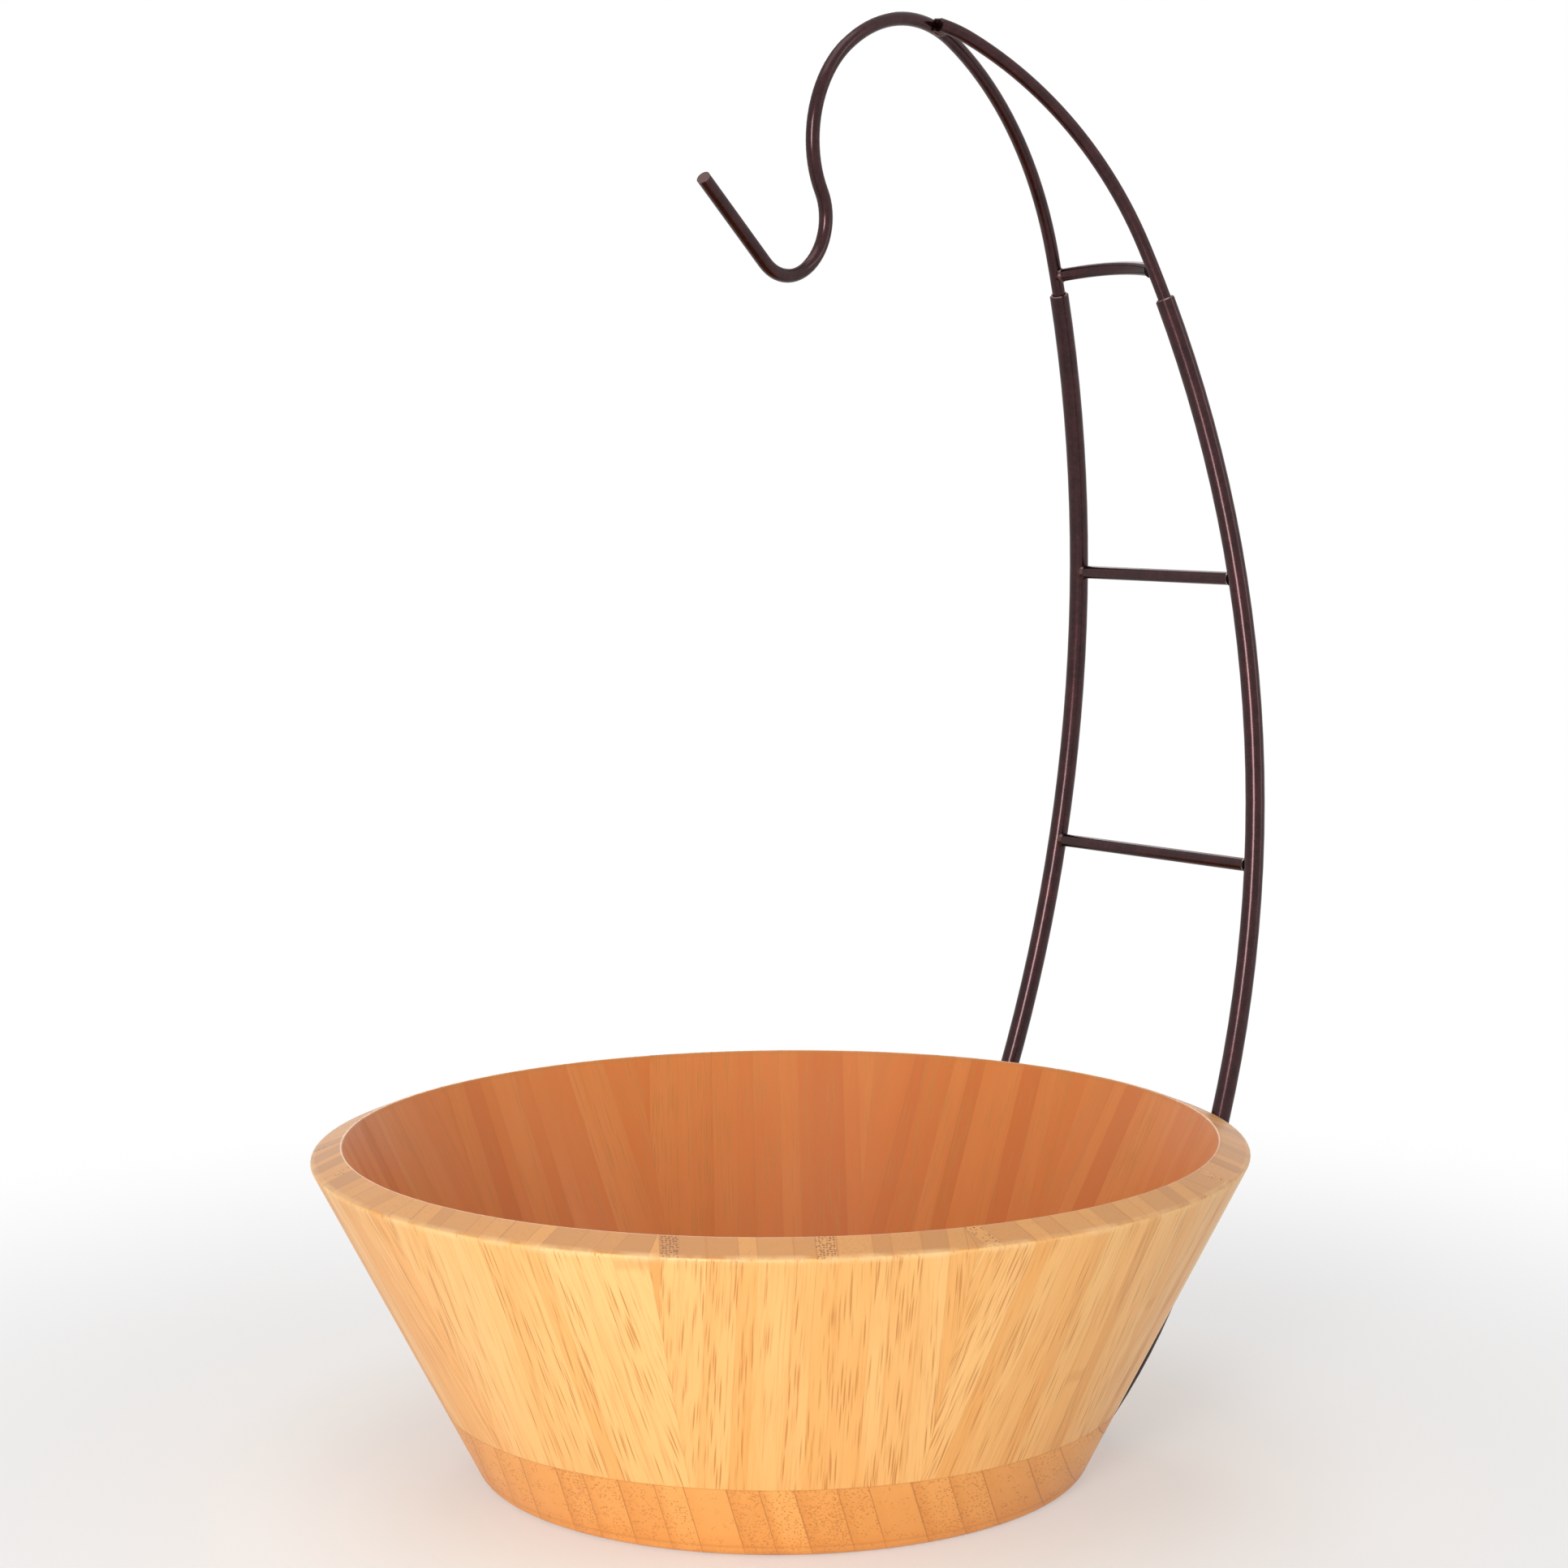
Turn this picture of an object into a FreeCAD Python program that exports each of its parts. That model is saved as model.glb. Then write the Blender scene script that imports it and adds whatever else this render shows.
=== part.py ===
import FreeCAD, Part
import math
import os

# Fruit bowl with a banana hanger. Millimetres, +Z up, origin at the centre of the foot's
# underside. The hanger stands on the +Y side and its hook reaches out over the bowl to -Y.

# Bowl, a turned cone of glued bamboo staves on a laminated disc
rim_radius = 145.4          # outer edge of the rim
rim_height = 99.9          # height of that outer edge
wall_lean = 27.0            # degrees from upright
wall_thickness = 10.7       # square to the wall
rim_face_tilt = 21.9        # degrees, the rim face rises towards the inside
rim_outer_round = 1.2
rim_inner_round = 0.8
base_thickness = 23.5       # height of the glue line between disc and wall
floor_recess = 3.0          # bowl floor below that glue line
floor_cove = 12.0           # radius between floor and wall
foot_round = 4.0

# Hanger stock
rod_diameter = 4.3
tube_wall = 0.8
tube_end_chamfer = 0.45
plug_clearance = 0.2        # all round, rod in tube
plug_depth = 28.0           # rod inside the tube

# Blind sockets in the edge of the disc
socket_height = 7.6         # axis above the table
socket_depth = 12.0
socket_clearance = 0.15     # all round, tube in the disc

# Hanger stance: each side lies in one plane that toes out and leans in
side_spread = 35.2          # each plane's distance from the bowl's axis along X
side_toe = 10.6             # degrees that each plane turns outwards
rim_gap = 1.3               # between the tubes and the outside of the bowl

# Bends of one side from the foot up, turns in degrees
foot_bend_radius = 7.4
foot_bend_turn = 46.5
lower_bend_radius = 183.3
lower_bend_turn = 18.4
main_bend_radius = 389.5
main_bend_turn = 48.8
upper_bend_radius = 129.7
upper_bend_turn = 39.9
shoulder_bend_radius = 48.1
shoulder_bend_turn = 64.4
crown_bend_radius = 32.4
crown_bend_turn = 87.0
throat_bend_radius = 16.4
throat_bend_turn = 164.0    # the other way round
tip_length = 37.9

# Places on the hanger
left_tube_drop = 82.2       # top of the left tube below the hanger's highest point
right_tube_drop = 85.1
arched_rung_lift = 5.8      # its ends above the top of the left tube
arched_rung_rise = 4.5
lower_rung_height = 177.6
middle_rung_height = 271.0

# Joint of the two rods at the top
side_rod_stop = 13.0        # degrees of bend before the highest point
weld_bite = 0.1             # each rod's share of the ground lap

# Weld beads
bead_width = 0.45           # beyond the rod, all round
bead_reach = 1.1            # along the rod
bead_sink = 0.15            # how far the bead's thin end dips into the rod
top_bead_radius = 1.3
top_bead_length = 5.0
weld_gap = 0.1              # left between a bar's end and the bar it is welded to

rod_radius = rod_diameter / 2
tube_bore = rod_radius + plug_clearance
tube_radius = tube_bore + tube_wall
foot_bend_place = 1         # numbers of the stretches of one side
main_bend_place = 3
shoulder_bend_place = 5


def vec(x, y, z):
    return FreeCAD.Vector(x, y, z)


def outer_radius(height):
    """Radius of the bowl's outside, one cone from the foot to the rim."""
    return rim_radius - (rim_height - height) * math.tan(math.radians(wall_lean))


def inner_radius(height):
    return outer_radius(height) - wall_thickness / math.cos(math.radians(wall_lean))


def outside_distance(point):
    """Distance of a point from the outside of the wall, rim included."""
    lean = math.radians(wall_lean)
    out = math.hypot(point.x, point.y) - rim_radius
    rise = point.z - rim_height
    if out * math.sin(lean) + rise * math.cos(lean) > 0:
        return math.hypot(out, rise)
    return out * math.cos(lean) - rise * math.sin(lean)


def solve(low, high, too_small):
    """Value between low and high at which too_small turns from true to false."""
    for _ in range(50):
        middle = (low + high) / 2
        if too_small(middle):
            low = middle
        else:
            high = middle
    return (low + high) / 2


def rounded_outline(corners):
    """Closed wire in the XZ plane from (x, z, radius) corners."""
    edges = []
    ends = []
    count = len(corners)
    for i in range(count):
        x, z, radius = corners[i]
        corner = vec(x, 0, z)
        if radius == 0:
            ends.append((corner, corner))
            continue
        before = vec(corners[i - 1][0], 0, corners[i - 1][1])
        after = vec(corners[(i + 1) % count][0], 0, corners[(i + 1) % count][1])
        back = (before - corner).normalize()
        ahead = (after - corner).normalize()
        half = back.getAngle(ahead) / 2
        enter = corner + back * (radius / math.tan(half))
        leave = corner + ahead * (radius / math.tan(half))
        bisector = (back + ahead).normalize()
        middle = corner + bisector * (radius / math.sin(half) - radius)
        edges.append(Part.Arc(enter, middle, leave).toShape())
        ends.append((enter, leave))
    for i in range(count):
        edges.append(Part.LineSegment(ends[i][1], ends[(i + 1) % count][0]).toShape())
    return Part.Wire(Part.__sortEdges__(edges))


def one_solid(shape):
    solids = shape.Solids
    if len(solids) != 1:
        raise ValueError("expected one solid, found %d" % len(solids))
    return solids[0]


def bowl_body():
    """The turned bowl before it is told apart at the glue line."""
    lean = math.radians(wall_lean)
    tilt = math.tan(math.radians(rim_face_tilt))
    face_run = wall_thickness / math.cos(lean) / (1 + math.tan(lean) * tilt)
    inner_edge = rim_height + face_run * tilt
    floor = base_thickness - floor_recess
    outline = rounded_outline([
        (0, 0, 0),
        (outer_radius(0), 0, foot_round),
        (rim_radius, rim_height, rim_outer_round),
        (inner_radius(inner_edge), inner_edge, rim_inner_round),
        (inner_radius(floor), floor, floor_cove),
        (0, floor, 0),
    ])
    return Part.Face(outline).revolve(vec(0, 0, 0), vec(0, 0, 1), 360)


def disc_slab():
    """Everything below the glue line."""
    return Part.makeCylinder(2 * rim_radius, base_thickness)


class Line:
    """Centre line in a plane as (along, up): straight runs and tangent bends."""

    def __init__(self, start, heading):
        self.start = start
        self.heading = heading
        self.spans = []

    def end(self):
        return self.spans[-1]["to"] if self.spans else self.start

    def run(self, length):
        here = self.end()
        angle = math.radians(self.heading)
        there = (here[0] + length * math.cos(angle), here[1] + length * math.sin(angle))
        self.spans.append({"from": here, "to": there, "radius": 0, "turn": 0,
                           "length": length, "heading": self.heading})

    def bend(self, radius, turn):
        here = self.end()
        side = math.copysign(radius, turn)
        angle = math.radians(self.heading)
        centre = (here[0] - side * math.sin(angle), here[1] + side * math.cos(angle))
        after = math.radians(self.heading + turn)
        there = (centre[0] + side * math.sin(after), centre[1] - side * math.cos(after))
        self.spans.append({"from": here, "to": there, "radius": radius, "turn": turn,
                           "length": radius * abs(math.radians(turn)),
                           "heading": self.heading, "centre": centre})
        self.heading += turn

    def split(self, place):
        """Stretch and share of it for a place such as 3.25, a quarter along stretch 3."""
        number = min(int(place), len(self.spans) - 1)
        return self.spans[number], place - number

    def heading_at(self, place):
        span, share = self.split(place)
        return span["heading"] + span["turn"] * share

    def point(self, place):
        span, share = self.split(place)
        if not span["radius"]:
            return tuple(a + (b - a) * share for a, b in zip(span["from"], span["to"]))
        side = math.copysign(span["radius"], span["turn"])
        angle = math.radians(span["heading"] + span["turn"] * share)
        centre = span["centre"]
        return (centre[0] + side * math.sin(angle), centre[1] - side * math.cos(angle))

    def part(self, first, last):
        """The same line from one place to another."""
        piece = Line(self.point(first), self.heading_at(first))
        for number, span in enumerate(self.spans):
            share = min(last - number, 1) - max(first - number, 0)
            if share <= 0:
                continue
            if span["radius"]:
                piece.bend(span["radius"], span["turn"] * share)
            else:
                piece.run(span["length"] * share)
        return piece

    def highest(self):
        """Place on the shoulder bend where the line runs level."""
        span = self.spans[shoulder_bend_place]
        return shoulder_bend_place + (180 - span["heading"]) / span["turn"]

    def before(self, place, length):
        """Place that lies this length earlier on the line."""
        number = int(place)
        share = place - number
        while share * self.spans[number]["length"] < length:
            length -= share * self.spans[number]["length"]
            number -= 1
            share = 1.0
        return number + share - length / self.spans[number]["length"]


class Side:
    """One side of the hanger, the right one or its mirror twin."""

    def __init__(self, sign, line, lean):
        toe = math.radians(side_toe)
        self.line = line
        self.origin = vec(sign * side_spread, 0, 0)
        self.along = vec(sign * math.sin(toe), math.cos(toe), 0)
        self.up = vec(-sign * math.cos(toe) * math.sin(lean), math.sin(toe) * math.sin(lean),
                      math.cos(lean))

    def flat(self, point):
        """A point of the side's plane in space."""
        return self.origin + self.along * point[0] + self.up * point[1]

    def at(self, place):
        return self.flat(self.line.point(place))

    def direction(self, place, turned=0):
        """Direction of the line at a place, or turned by some degrees in the plane."""
        angle = math.radians(self.line.heading_at(place) + turned)
        return self.along * math.cos(angle) + self.up * math.sin(angle)

    def place_at_height(self, height):
        """Place on the rising part of the side that lies at this height."""
        return solve(foot_bend_place, self.line.highest(), lambda place: self.at(place).z < height)

    def bar(self, first, last, radius, bore=0.0):
        """Round bar or tube from one place to another."""
        line = self.line.part(first, last)
        normal = self.along.cross(self.up)
        pieces = []
        for span in line.spans:
            start = self.flat(span["from"])
            angle = math.radians(span["heading"])
            heading = self.along * math.cos(angle) + self.up * math.sin(angle)
            section = Part.Face(Part.Wire(Part.makeCircle(radius, start, heading)))
            if bore:
                hole = Part.Face(Part.Wire(Part.makeCircle(bore, start, heading)))
                section = section.cut(hole).Faces[0]
            if span["radius"]:
                axis = normal * math.copysign(1, span["turn"])
                pieces.append(section.revolve(self.flat(span["centre"]), axis, abs(span["turn"])))
            else:
                pieces.append(section.extrude(heading * span["length"]))
        if len(pieces) == 1:
            return one_solid(pieces[0])
        return one_solid(pieces[0].multiFuse(pieces[1:]))

    def short_bar(self, place, radius):
        """Straight stand-in for a bar near one place, to cut what is welded to it there."""
        heading = self.direction(place)
        start = self.at(place) - heading * (4 * radius)
        return Part.makeCylinder(radius, 8 * radius, start, heading)


def side_line(bend_start):
    """Whole centre line, from the bottom of the socket to the tip of the hook."""
    toe = math.radians(side_toe)
    reach = outer_radius(socket_height)
    across = side_spread * math.cos(toe)
    mouth = math.sqrt(reach * reach - across * across) - side_spread * math.sin(toe)
    bottom = mouth - socket_depth
    line = Line((bottom, socket_height), 0)
    line.run(bend_start - bottom)
    line.bend(foot_bend_radius, foot_bend_turn)
    line.bend(lower_bend_radius, lower_bend_turn)
    line.bend(main_bend_radius, main_bend_turn)
    line.bend(upper_bend_radius, upper_bend_turn)
    line.bend(shoulder_bend_radius, shoulder_bend_turn)
    line.bend(crown_bend_radius, crown_bend_turn)
    line.bend(throat_bend_radius, -throat_bend_turn)
    line.run(tip_length)
    return line


def joint_place(line):
    """Where the shorter rod ends on the longer one."""
    return line.highest() - side_rod_stop / shoulder_bend_turn


def side_lean(line):
    """Lean in radians that brings the two rods together at their joint."""
    along, up = line.point(joint_place(line))
    toe = math.radians(side_toe)
    apart = rod_radius - weld_bite
    return math.asin((side_spread + along * math.sin(toe) - apart) / (up * math.cos(toe)))


def right_side(bend_start):
    line = side_line(bend_start)
    return Side(1, line, side_lean(line))


def bowl_clearance(side):
    """Least distance between the bowl's outside and the tube above its foot."""
    steps = 200
    first = foot_bend_place + 1
    places = [first + (main_bend_place + 1 - first) * i / steps for i in range(steps)]
    return min(outside_distance(side.at(place)) for place in places) - tube_radius


def placed_line():
    """The centre line, moved out until the tube clears the bowl by the rim gap."""
    start = solve(0, 2 * rim_radius, lambda u: bowl_clearance(right_side(u)) < rim_gap)
    return side_line(start)


def rod_between(first, second, radius):
    axis = second - first
    return Part.makeCylinder(radius, axis.Length, first, axis)


def bead_round(centre, axis, host_radius):
    """Conical weld bead round a rod that leaves its host along this axis."""
    axis = vec(axis.x, axis.y, axis.z).normalize()
    start = host_radius * 0.9
    length = host_radius + bead_reach - start
    return Part.makeCone(rod_radius + bead_width, rod_radius - bead_sink, length,
                         centre + axis * start, axis)


def spindle(centre, axis, length, radius):
    """Short bar that tapers at both ends."""
    taper = length * 0.35
    start = centre - axis * (length / 2)
    lower = Part.makeCone(radius * 0.4, radius, taper, start, axis)
    body = Part.makeCylinder(radius, length - 2 * taper, start + axis * taper, axis)
    upper = Part.makeCone(radius, radius * 0.4, taper, start + axis * (length - taper), axis)
    return one_solid(lower.multiFuse([body, upper]))


def bevelled_end(tube, centre, heading):
    """The tube with the outer edge of its open top end bevelled."""
    overlap = tube_end_chamfer / 4
    start = centre - heading * (tube_end_chamfer + overlap)
    length = tube_end_chamfer + 2 * overlap
    ring = Part.makeCylinder(tube_radius + tube_wall, length, start, heading)
    cone = Part.makeCone(tube_radius + overlap, tube_radius + overlap - length, length, start,
                         heading)
    return one_solid(tube.cut(ring.cut(cone)))


def build_sides(left, right, joint):
    """The two tubes and the two rods that plug into them."""
    parts = {}
    top = left.at(left.line.highest()).z
    ends = {"left": left.place_at_height(top - left_tube_drop),
            "right": right.place_at_height(top - right_tube_drop)}
    rods = {"left": ("hook_wire", len(left.line.spans)), "right": ("side_wire", joint)}
    for name, side in (("left", left), ("right", right)):
        end = ends[name]
        tube = side.bar(0, end, tube_radius, tube_bore)
        parts[name + "_upright"] = bevelled_end(tube, side.at(end), side.direction(end))
        rod, last = rods[name]
        parts[rod] = side.bar(side.line.before(end, plug_depth), last, rod_radius)
    lap = left.bar(ends["left"], joint + 0.2, rod_radius + weld_gap)
    parts["side_wire"] = one_solid(parts["side_wire"].cut(lap))
    return parts


def straight_rung(left, right, height):
    """A rung between the tubes and its two beads."""
    sides = (left, right)
    place = left.place_at_height(height)
    ends = [side.at(place) for side in sides]
    hosts = [side.short_bar(place, tube_radius + weld_gap) for side in sides]
    rung = one_solid(rod_between(ends[0], ends[1], rod_radius).cut(hosts[0]).cut(hosts[1]))
    beads = []
    for i in (0, 1):
        bead = bead_round(ends[i], ends[1 - i] - ends[i], tube_radius)
        beads.append(one_solid(bead.cut(hosts[i]).cut(rung)))
    return rung, beads


def arched_rung(left, right):
    """The bowed rung between the rods and its two beads."""
    sides = (left, right)
    top = left.at(left.line.highest()).z
    place = left.place_at_height(top - left_tube_drop + arched_rung_lift)
    ends = [side.at(place) for side in sides]
    outward = left.direction(place, -90) + right.direction(place, -90)
    outward.x = 0
    crest = (ends[0] + ends[1]) * 0.5 + outward.normalize() * arched_rung_rise
    arc = Part.Arc(ends[0], crest, ends[1]).toShape()
    headings = [arc.tangentAt(arc.FirstParameter), arc.tangentAt(arc.LastParameter) * -1]
    section = Part.Face(Part.Wire(Part.makeCircle(rod_radius, ends[0], headings[0])))
    turn = math.degrees(arc.LastParameter - arc.FirstParameter)
    rung = section.revolve(arc.Curve.Center, arc.Curve.Axis, turn)
    hosts = [side.short_bar(place, rod_radius + weld_gap) for side in sides]
    rung = one_solid(rung.cut(hosts[0]).cut(hosts[1]))
    beads = []
    for i in (0, 1):
        bead = bead_round(ends[i], headings[i], rod_radius)
        beads.append(one_solid(bead.cut(hosts[i]).cut(rung)))
    return rung, beads


def lap_beads(left, right, joint):
    """Beads in the grooves over and under the place where the two rods meet."""
    sides = (left, right)
    meeting = (left.at(joint) + right.at(joint)) * 0.5
    tangent = (left.direction(joint) + right.direction(joint)).normalize()
    inward = (left.direction(joint, 90) + right.direction(joint, 90)).normalize()
    hosts = [side.bar(joint - 0.2, joint + 0.2, rod_radius + weld_gap) for side in sides]
    middle = meeting - tangent * (top_bead_length * 0.35)
    beads = []
    for depth, radius in ((0.75, top_bead_radius), (-0.75, top_bead_radius * 0.75)):
        centre = middle + inward * (depth * rod_radius)
        bead = spindle(centre, tangent, top_bead_length, radius)
        bead = bead.cut(hosts[0]).cut(hosts[1])
        beads.append(max(bead.Solids, key=lambda solid: solid.Volume))
    return beads


def build_bowl(left, right):
    """The disc with its two blind sockets, and the wall."""
    body = bowl_body()
    disc = body.common(disc_slab())
    for side in (left, right):
        socket = Part.makeCylinder(tube_radius + socket_clearance, rim_radius, side.at(0),
                                   side.direction(0))
        disc = disc.cut(socket)
    return {"base_disc": one_solid(disc), "bowl_wall": one_solid(body.cut(disc_slab()))}


def build():
    line = placed_line()
    joint = joint_place(line)
    lean = side_lean(line)
    left = Side(-1, line, lean)
    right = Side(1, line, lean)
    parts = build_bowl(left, right)
    parts.update(build_sides(left, right, joint))

    rung_beads = []
    for name, height in (("lower_rung", lower_rung_height), ("middle_rung", middle_rung_height)):
        parts[name], beads = straight_rung(left, right, height)
        rung_beads += beads
    parts["rung_welds"] = Part.makeCompound(rung_beads)
    parts["arched_rung"], top_beads = arched_rung(left, right)
    parts["top_welds"] = Part.makeCompound(top_beads + lap_beads(left, right, joint))
    return parts


def main():
    os.makedirs("parts", exist_ok=True)
    for name, shape in build().items():
        shape.exportStep("parts/" + name + ".step")


if __name__ == "__main__":
    main()
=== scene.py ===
import logging
import math
from dataclasses import dataclass
from enum import Enum
from typing import Any, Dict, List, Optional, Tuple, Union

import bpy
from mathutils import Matrix, Vector

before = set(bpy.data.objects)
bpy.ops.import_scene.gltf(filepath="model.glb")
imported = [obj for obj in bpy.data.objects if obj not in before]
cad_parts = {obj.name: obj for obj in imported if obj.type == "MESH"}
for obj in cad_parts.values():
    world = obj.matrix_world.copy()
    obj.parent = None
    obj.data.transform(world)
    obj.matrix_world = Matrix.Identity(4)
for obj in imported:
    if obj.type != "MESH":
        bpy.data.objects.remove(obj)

# A bamboo fruit bowl with a dark bronze banana hanger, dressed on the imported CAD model.
# Every finish is a solid texture in object coordinates, written in millimetres.

LOG = logging.getLogger("fruit_bowl")
PHOTO_PIXELS = 1932
MILLIMETRES = 1000.0


class Blend(Enum):
    """Ways in which one colour is laid over another."""

    PLAIN = "MIX"
    MULTIPLY = "MULTIPLY"


@dataclass(frozen=True)
class Tone:
    """A colour as linear red, green and blue."""

    red: float
    green: float
    blue: float

    def rgba(self) -> Tuple[float, float, float, float]:
        """Returns: the colour with full alpha."""
        return (self.red, self.green, self.blue, 1.0)


WHITE = Tone(1.0, 1.0, 1.0)
Operand = Union["Signal", float, int]
Value = Union["Signal", Tone, float, int, Tuple[float, ...]]
Inputs = Dict[Union[int, str], Value]
Span = Tuple[float, float]


class Signal:
    """A number, vector or colour that a node gives, with the usual operators."""

    def __init__(self, sheet: "NodeSheet", socket: bpy.types.NodeSocket) -> None:
        """Wraps a socket.

        Args:
            sheet: the sheet that the socket's node stands on.
            socket: the output to read.
        """
        self.sheet = sheet
        self.socket = socket

    def __add__(self, other: Operand) -> "Signal":
        return self.sheet.math("ADD", self, other)

    def __radd__(self, other: Operand) -> "Signal":
        return self.sheet.math("ADD", other, self)

    def __sub__(self, other: Operand) -> "Signal":
        return self.sheet.math("SUBTRACT", self, other)

    def __rsub__(self, other: Operand) -> "Signal":
        return self.sheet.math("SUBTRACT", other, self)

    def __mul__(self, other: Operand) -> "Signal":
        return self.sheet.math("MULTIPLY", self, other)

    def __rmul__(self, other: Operand) -> "Signal":
        return self.sheet.math("MULTIPLY", other, self)

    def __truediv__(self, other: Operand) -> "Signal":
        return self.sheet.math("DIVIDE", self, other)

    def __rtruediv__(self, other: Operand) -> "Signal":
        return self.sheet.math("DIVIDE", other, self)

    def floor(self) -> "Signal":
        """Returns: the whole number below."""
        return self.sheet.math("FLOOR", self)

    def fract(self) -> "Signal":
        """Returns: what stays over that whole number."""
        return self.sheet.math("FRACT", self)

    def sine(self) -> "Signal":
        """Returns: the sine of this many radians."""
        return self.sheet.math("SINE", self)

    def cosine(self) -> "Signal":
        """Returns: the cosine of this many radians."""
        return self.sheet.math("COSINE", self)

    def root(self) -> "Signal":
        """Returns: the square root."""
        return self.sheet.math("SQRT", self)

    def size(self) -> "Signal":
        """Returns: the value without its sign."""
        return self.sheet.math("ABSOLUTE", self)

    def least(self, other: Operand) -> "Signal":
        """Returns: the smaller of the two."""
        return self.sheet.math("MINIMUM", self, other)

    def most(self, other: Operand) -> "Signal":
        """Returns: the larger of the two."""
        return self.sheet.math("MAXIMUM", self, other)

    def rise(self, low: float, high: float) -> "Signal":
        """A soft step.

        Args:
            low: value at which the step starts from 0.
            high: value at which it reaches 1.

        Returns:
            The step, from 0 to 1.
        """
        made = self.sheet.node(
            "ShaderNodeMapRange",
            {"interpolation_type": "SMOOTHSTEP"},
            {0: self, 1: low, 2: high, 3: 0.0, 4: 1.0},
        )
        return Signal(self.sheet, made.outputs[0])

    def fall(self, low: float, high: float) -> "Signal":
        """A soft step, turned over.

        Args:
            low: value at which the step starts from 1.
            high: value at which it reaches 0.

        Returns:
            The step, from 1 to 0.
        """
        return 1.0 - self.rise(low, high)


class NodeSheet:
    """One node tree, filled by a few short calls."""

    def __init__(self, tree: bpy.types.NodeTree) -> None:
        """Empties the tree.

        Args:
            tree: the tree of a material or of the world.
        """
        self.tree = tree
        self.tree.nodes.clear()

    def node(
        self,
        kind: str,
        settings: Optional[Dict[str, Any]] = None,
        inputs: Optional[Inputs] = None,
    ) -> bpy.types.Node:
        """Adds a node.

        Args:
            kind: Blender's type name.
            settings: properties of the node.
            inputs: values or signals for its sockets, by name or place.

        Returns:
            The new node.
        """
        made = self.tree.nodes.new(kind)
        for name, setting in (settings or {}).items():
            setattr(made, name, setting)
        for key, value in (inputs or {}).items():
            socket = made.inputs[key]
            if isinstance(value, Signal):
                self.tree.links.new(value.socket, socket)
            elif isinstance(value, Tone):
                socket.default_value = value.rgba()
            else:
                socket.default_value = value
        return made

    def out(self, node: bpy.types.Node, key: Union[int, str] = 0) -> Signal:
        """Reads a node.

        Args:
            node: the node.
            key: the name or the place of its output.

        Returns:
            That output as a signal.
        """
        return Signal(self, node.outputs[key])

    def math(self, operation: str, *values: Operand) -> Signal:
        """Adds a Math node.

        Args:
            operation: Blender's name for what it does.
            values: the one to three values that it works on.

        Returns:
            The result.
        """
        made = self.node("ShaderNodeMath", {"operation": operation}, dict(enumerate(values)))
        return self.out(made)

    def vector(self, x: Operand, y: Operand, z: Operand) -> Signal:
        """Joins three numbers.

        Args:
            x: the first number.
            y: the second number.
            z: the third number.

        Returns:
            The vector.
        """
        return self.out(self.node("ShaderNodeCombineXYZ", None, {0: x, 1: y, 2: z}))

    def place(self) -> Tuple[Signal, Signal, Signal]:
        """Returns: the object coordinates in millimetres."""
        source = self.node("ShaderNodeTexCoord")
        split = self.node("ShaderNodeSeparateXYZ", None, {0: self.out(source, "Object")})
        return tuple(self.out(split, i) * MILLIMETRES for i in range(3))

    def noise(
        self, where: Signal, scale: float = 1.0, detail: float = 2.0, rough: float = 0.5
    ) -> Signal:
        """Soft noise.

        Args:
            where: the place that it is read at.
            scale: patches per unit.
            detail: number of finer layers.
            rough: strength of those layers.

        Returns:
            A number about 0.5.
        """
        made = self.node(
            "ShaderNodeTexNoise",
            {"noise_dimensions": "3D"},
            {"Vector": where, "Scale": scale, "Detail": detail, "Roughness": rough},
        )
        return self.out(made, 0)

    def cells(self, where: Signal, scatter: float = 1.0) -> Signal:
        """Points scattered through space, about one for each unit cube.

        Args:
            where: the place that they are read at.
            scatter: 0 for a regular grid, 1 for no order.

        Returns:
            The distance to the nearest point.
        """
        made = self.node(
            "ShaderNodeTexVoronoi",
            {"voronoi_dimensions": "3D", "feature": "F1"},
            {"Vector": where, "Scale": 1.0, "Randomness": scatter},
        )
        return self.out(made, "Distance")

    def lots(self, first: Operand, second: Operand, third: Operand = 0.0) -> List[Signal]:
        """Draws lots that stay the same for the same values.

        Args:
            first: the first value.
            second: the second value.
            third: the third value.

        Returns:
            Three random numbers from 0 to 1.
        """
        made = self.node(
            "ShaderNodeTexWhiteNoise",
            {"noise_dimensions": "3D"},
            {"Vector": self.vector(first, second, third)},
        )
        split = self.node("ShaderNodeSeparateColor", None, {0: self.out(made, "Color")})
        return [self.out(split, i) for i in range(3)]

    def mix(
        self, share: Operand, below: Value, above: Value, blend: Blend = Blend.PLAIN
    ) -> Signal:
        """Lays one colour over another.

        Args:
            share: how much of the upper colour shows, from 0 to 1.
            below: the lower colour.
            above: the upper colour.
            blend: how the two meet.

        Returns:
            The mixed colour.
        """
        made = self.node(
            "ShaderNodeMix",
            {"data_type": "RGBA", "blend_type": blend.value, "clamp_factor": True},
            {0: share, 6: below, 7: above},
        )
        return self.out(made, 2)

    def bump(self, height: Signal, depth: float, strength: float = 1.0) -> Signal:
        """Turns a height into a normal.

        Args:
            height: the height, from 0 to 1.
            depth: what a height of 1 stands for, in millimetres.
            strength: how much of it shows.

        Returns:
            The normal.
        """
        made = self.node(
            "ShaderNodeBump",
            None,
            {"Height": height, "Distance": depth / MILLIMETRES, "Strength": strength},
        )
        return self.out(made)

    def principled(self, inputs: Inputs) -> None:
        """Makes the tree's surface.

        Args:
            inputs: the values and signals for the shader's sockets.
        """
        self.finish(self.out(self.node("ShaderNodeBsdfPrincipled", None, inputs)))

    def finish(self, shader: Signal, kind: str = "ShaderNodeOutputMaterial") -> None:
        """Leads a shader to the tree's output.

        Args:
            shader: the surface or the background.
            kind: Blender's type name of the output.
        """
        self.node(kind, None, {0: shader})


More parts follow.
